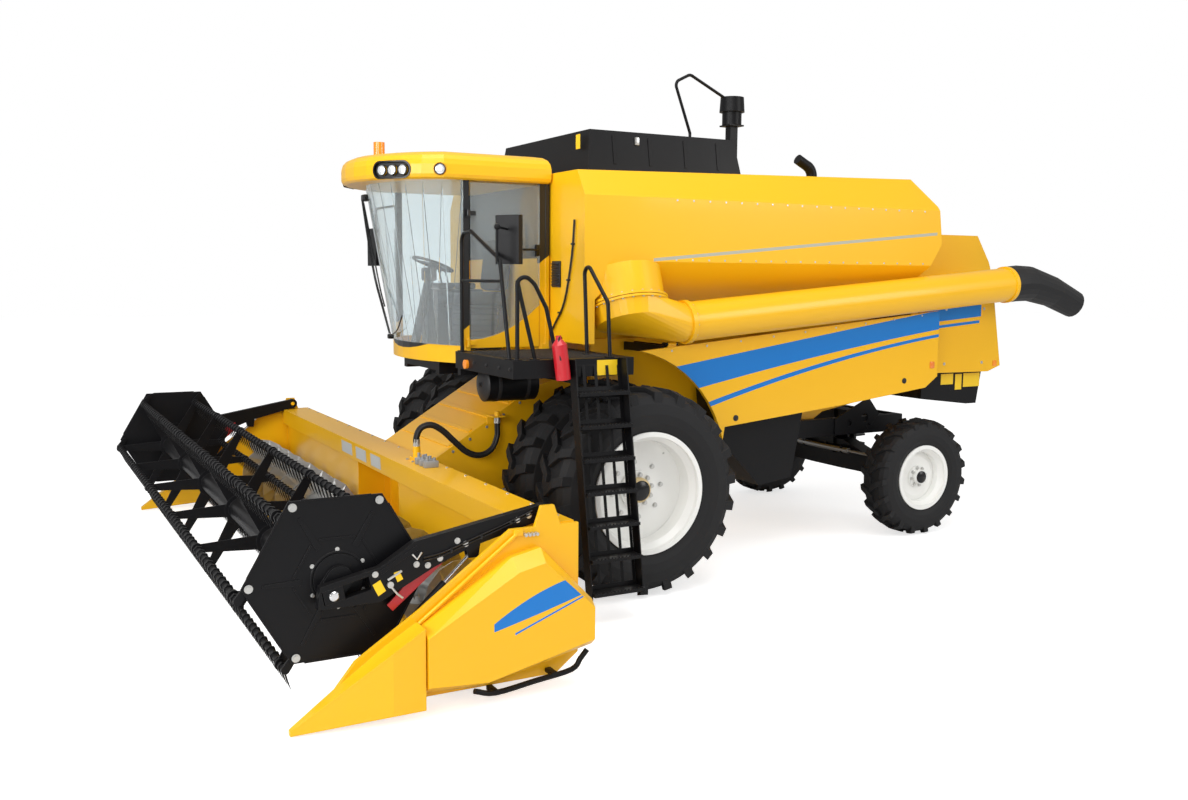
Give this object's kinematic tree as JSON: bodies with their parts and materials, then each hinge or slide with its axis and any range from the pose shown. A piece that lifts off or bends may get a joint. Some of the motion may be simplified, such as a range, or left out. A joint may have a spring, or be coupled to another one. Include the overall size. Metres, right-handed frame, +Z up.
{
  "type": "combine harvester",
  "caption": "Self-propelled combine harvester with a straight grain header, tined reel, side ladder, glazed cab, grain tank and folded unloading auger.",
  "frame": {"origin": "middle of the whole machine with its header, on the ground", "axes": "-Y forwards, +X towards the machine's left side with the ladder, +Z up"},
  "size_m": [7.1606, 9.2289, 4.6691],
  "materials": {
    "body_yellow": "gloss enamel",
    "black_metal": "satin black enamel",
    "rubber_black": "matt",
    "tyre": "matt rubber",
    "rim_white": "gloss white enamel",
    "clear_glass": "clear, slightly blue",
    "cast_grey": "rough cast",
    "cab_trim": "textured dark grey",
    "amber_lens": "clear amber plastic",
    "red_paint": "gloss red enamel",
    "bare_steel": "worn steel",
    "chrome_rod": "polished"
  },
  "bodies": {
    "chassis": {"threshing_body": "body_yellow", "chassis_frame": "black_metal", "shoe_shrouds": "black_metal", "grain_tank": "body_yellow", "tank_extension": "black_metal", "straw_hood": "body_yellow", "engine_hood": "body_yellow", "engine_block": "cast_grey", "chopper_housing": "black_metal", "tank_fittings": "black_metal", "cab_shell": "body_yellow", "cab_roof": "body_yellow", "cab_glass": "clear_glass", "cab_interior": "cab_trim", "lamps": "amber_lens", "mirrors": "black_metal", "platform": "black_metal", "ladder": "black_metal", "handrails": "black_metal", "extinguisher": "red_paint", "rear_axle": "black_metal", "steering_ram": "bare_steel"},
    "chopper_shaft": {"chopper_rotor": "black_metal"},
    "cab_door": {"door_panel": "body_yellow", "door_glass": "clear_glass"},
    "left_panel": {"side_panel_left": "body_yellow"},
    "right_panel": {"side_panel_right": "body_yellow"},
    "unloading_auger": {"auger_tube": "body_yellow", "auger_spout": "rubber_black"},
    "drive_wheels_left": {"drive_tyres_left": "tyre", "drive_rims_left": "rim_white"},
    "drive_wheels_right": {"drive_tyres_right": "tyre", "drive_rims_right": "rim_white"},
    "steering_knuckle_left": {"knuckle_left": "black_metal"},
    "steering_knuckle_right": {"knuckle_right": "black_metal"},
    "steer_wheel_left": {"steer_tyre_left": "tyre", "steer_rim_left": "rim_white"},
    "steer_wheel_right": {"steer_tyre_right": "tyre", "steer_rim_right": "rim_white"},
    "header": {"feeder_house": "body_yellow", "feeder_hoses": "rubber_black", "header_frame": "body_yellow", "header_ends": "body_yellow", "cutterbar": "bare_steel"},
    "feed_auger": {"table_auger": "bare_steel"},
    "reel_lift_arms": {"reel_arms": "black_metal", "reel_props": "red_paint"},
    "reel_slide_blocks": {"reel_carriers": "black_metal"},
    "reel": {"reel_core": "black_metal"},
    "reel_end_shields": {"reel_plates": "black_metal"},
    "feeder_cylinders": {"lift_barrels": "black_metal"},
    "feeder_cylinder_rods": {"lift_rods": "chrome_rod"},
    "reel_cylinders": {"reel_barrels": "black_metal"},
    "reel_cylinder_rods": {"reel_rods": "chrome_rod"},
    "tine_bar_1": {"tine_bar_1": "black_metal"},
    "tine_bar_2": {"tine_bar_2": "black_metal"},
    "tine_bar_3": {"tine_bar_3": "black_metal"},
    "tine_bar_4": {"tine_bar_4": "black_metal"},
    "tine_bar_5": {"tine_bar_5": "black_metal"},
    "tine_bar_6": {"tine_bar_6": "black_metal"}
  },
  "joints": [
    {"name": "drive_wheels_left_roll", "type": "hinge", "parent": "chassis", "child": "drive_wheels_left", "pos_m": [1.475, -1.0766, 0.87], "axis": [1, 0, 0], "continuous": true},
    {"name": "drive_wheels_right_roll", "type": "hinge", "parent": "chassis", "child": "drive_wheels_right", "pos_m": [-1.475, -1.0766, 0.87], "axis": [1, 0, 0], "continuous": true},
    {"name": "left_steer", "type": "hinge", "parent": "chassis", "child": "steering_knuckle_left", "pos_m": [0.96, 2.6104, 0.6], "axis": [0, 0, 1], "range_deg": [-30, 30]},
    {"name": "right_steer", "type": "hinge", "parent": "chassis", "child": "steering_knuckle_right", "pos_m": [-0.96, 2.6104, 0.6], "axis": [0, 0, 1], "range_deg": [-30, 30]},
    {"name": "steer_wheel_left_roll", "type": "hinge", "parent": "steering_knuckle_left", "child": "steer_wheel_left", "pos_m": [1.24, 2.6104, 0.6], "axis": [1, 0, 0], "continuous": true},
    {"name": "steer_wheel_right_roll", "type": "hinge", "parent": "steering_knuckle_right", "child": "steer_wheel_right", "pos_m": [-1.24, 2.6104, 0.6], "axis": [1, 0, 0], "continuous": true},
    {"name": "feeder_lift", "type": "hinge", "parent": "chassis", "child": "header", "pos_m": [0, -1.1266, 1.56], "axis": [-1, 0, 0], "range_deg": [0, 20]},
    {"name": "feeder_cylinder_swing", "type": "hinge", "parent": "chassis", "child": "feeder_cylinders", "pos_m": [0, -1.1966, 0.66], "axis": [-1, 0, 0], "range_deg": [0, 23]},
    {"name": "feeder_cylinder_stroke", "type": "slide", "parent": "feeder_cylinders", "child": "feeder_cylinder_rods", "axis": [0, -0.9775, -0.211], "range_m": [0, 0.32]},
    {"name": "feed_auger_spin", "type": "hinge", "parent": "header", "child": "feed_auger", "pos_m": [0, -3.0566, 0.435], "axis": [1, 0, 0], "continuous": true},
    {"name": "reel_lift", "type": "hinge", "parent": "header", "child": "reel_lift_arms", "pos_m": [0, -2.6966, 1.135], "axis": [-1, 0, 0], "range_deg": [0, 22]},
    {"name": "reel_cylinder_swing", "type": "hinge", "parent": "header", "child": "reel_cylinders", "pos_m": [0, -3.5966, 0.52], "axis": [1, 0, 0], "range_deg": [0, 15]},
    {"name": "reel_cylinder_stroke", "type": "slide", "parent": "reel_cylinders", "child": "reel_cylinder_rods", "axis": [0, 0.7241, 0.6897], "range_m": [0, 0.13]},
    {"name": "reel_shift", "type": "slide", "parent": "reel_lift_arms", "child": "reel_slide_blocks", "axis": [0, 0.9759, 0.2183], "range_m": [0, 0.15]},
    {"name": "reel_spin", "type": "hinge", "parent": "reel_slide_blocks", "child": "reel", "pos_m": [0, -4.0566, 0.765], "axis": [1, 0, 0], "continuous": true},
    {"name": "reel_shield_spin", "type": "hinge", "parent": "reel_slide_blocks", "child": "reel_end_shields", "pos_m": [0, -4.0016, 0.84], "axis": [1, 0, 0], "continuous": true},
    {"name": "tine_bar_1_turn", "type": "hinge", "parent": "reel", "child": "tine_bar_1", "pos_m": [0, -3.5366, 0.765], "axis": [1, 0, 0], "continuous": true},
    {"name": "tine_bar_2_turn", "type": "hinge", "parent": "reel", "child": "tine_bar_2", "pos_m": [0, -3.7966, 1.21533], "axis": [1, 0, 0], "continuous": true},
    {"name": "tine_bar_3_turn", "type": "hinge", "parent": "reel", "child": "tine_bar_3", "pos_m": [0, -4.3166, 1.21533], "axis": [1, 0, 0], "continuous": true},
    {"name": "tine_bar_4_turn", "type": "hinge", "parent": "reel", "child": "tine_bar_4", "pos_m": [0, -4.5766, 0.765], "axis": [1, 0, 0], "continuous": true},
    {"name": "tine_bar_5_turn", "type": "hinge", "parent": "reel", "child": "tine_bar_5", "pos_m": [0, -4.3166, 0.31467], "axis": [1, 0, 0], "continuous": true},
    {"name": "tine_bar_6_turn", "type": "hinge", "parent": "reel", "child": "tine_bar_6", "pos_m": [0, -3.7966, 0.31467], "axis": [1, 0, 0], "continuous": true},
    {"name": "unloading_swing", "type": "hinge", "parent": "chassis", "child": "unloading_auger", "pos_m": [1.42, -0.9566, 2.39], "axis": [0.342, 0, -0.9397], "range_deg": [0, 90]},
    {"name": "door_open", "type": "hinge", "parent": "chassis", "child": "cab_door", "pos_m": [0.894, -2.2026, 2.7], "axis": [0, 0, -1], "range_deg": [0, 80]},
    {"name": "left_panel_open", "type": "hinge", "parent": "chassis", "child": "left_panel", "pos_m": [1.43, -0.5166, 2.0484], "axis": [0, -0.996, -0.0896], "range_deg": [0, 60]},
    {"name": "right_panel_open", "type": "hinge", "parent": "chassis", "child": "right_panel", "pos_m": [-1.43, -0.5166, 2.0484], "axis": [0, 0.996, 0.0896], "range_deg": [0, 60]},
    {"name": "chopper_spin", "type": "hinge", "parent": "chassis", "child": "chopper_shaft", "pos_m": [0, 3.2134, 1.48], "axis": [1, 0, 0], "continuous": true}
  ],
  "couplings": [
    {"joint": "right_steer", "follows": "left_steer", "ratio": 1},
    {"joint": "feeder_cylinder_swing", "follows": "feeder_lift", "ratio": 1.0856},
    {"joint": "feeder_cylinder_stroke", "follows": "feeder_lift", "m_per_rad": 0.8937},
    {"joint": "reel_cylinder_swing", "follows": "reel_lift", "ratio": 0.6471},
    {"joint": "reel_cylinder_stroke", "follows": "reel_lift", "m_per_rad": 0.3214},
    {"joint": "reel_shield_spin", "follows": "reel_spin", "ratio": 1},
    {"joint": "tine_bar_1_turn", "follows": "reel_spin", "ratio": -1},
    {"joint": "tine_bar_2_turn", "follows": "reel_spin", "ratio": -1},
    {"joint": "tine_bar_3_turn", "follows": "reel_spin", "ratio": -1},
    {"joint": "tine_bar_4_turn", "follows": "reel_spin", "ratio": -1},
    {"joint": "tine_bar_5_turn", "follows": "reel_spin", "ratio": -1},
    {"joint": "tine_bar_6_turn", "follows": "reel_spin", "ratio": -1}
  ]
}
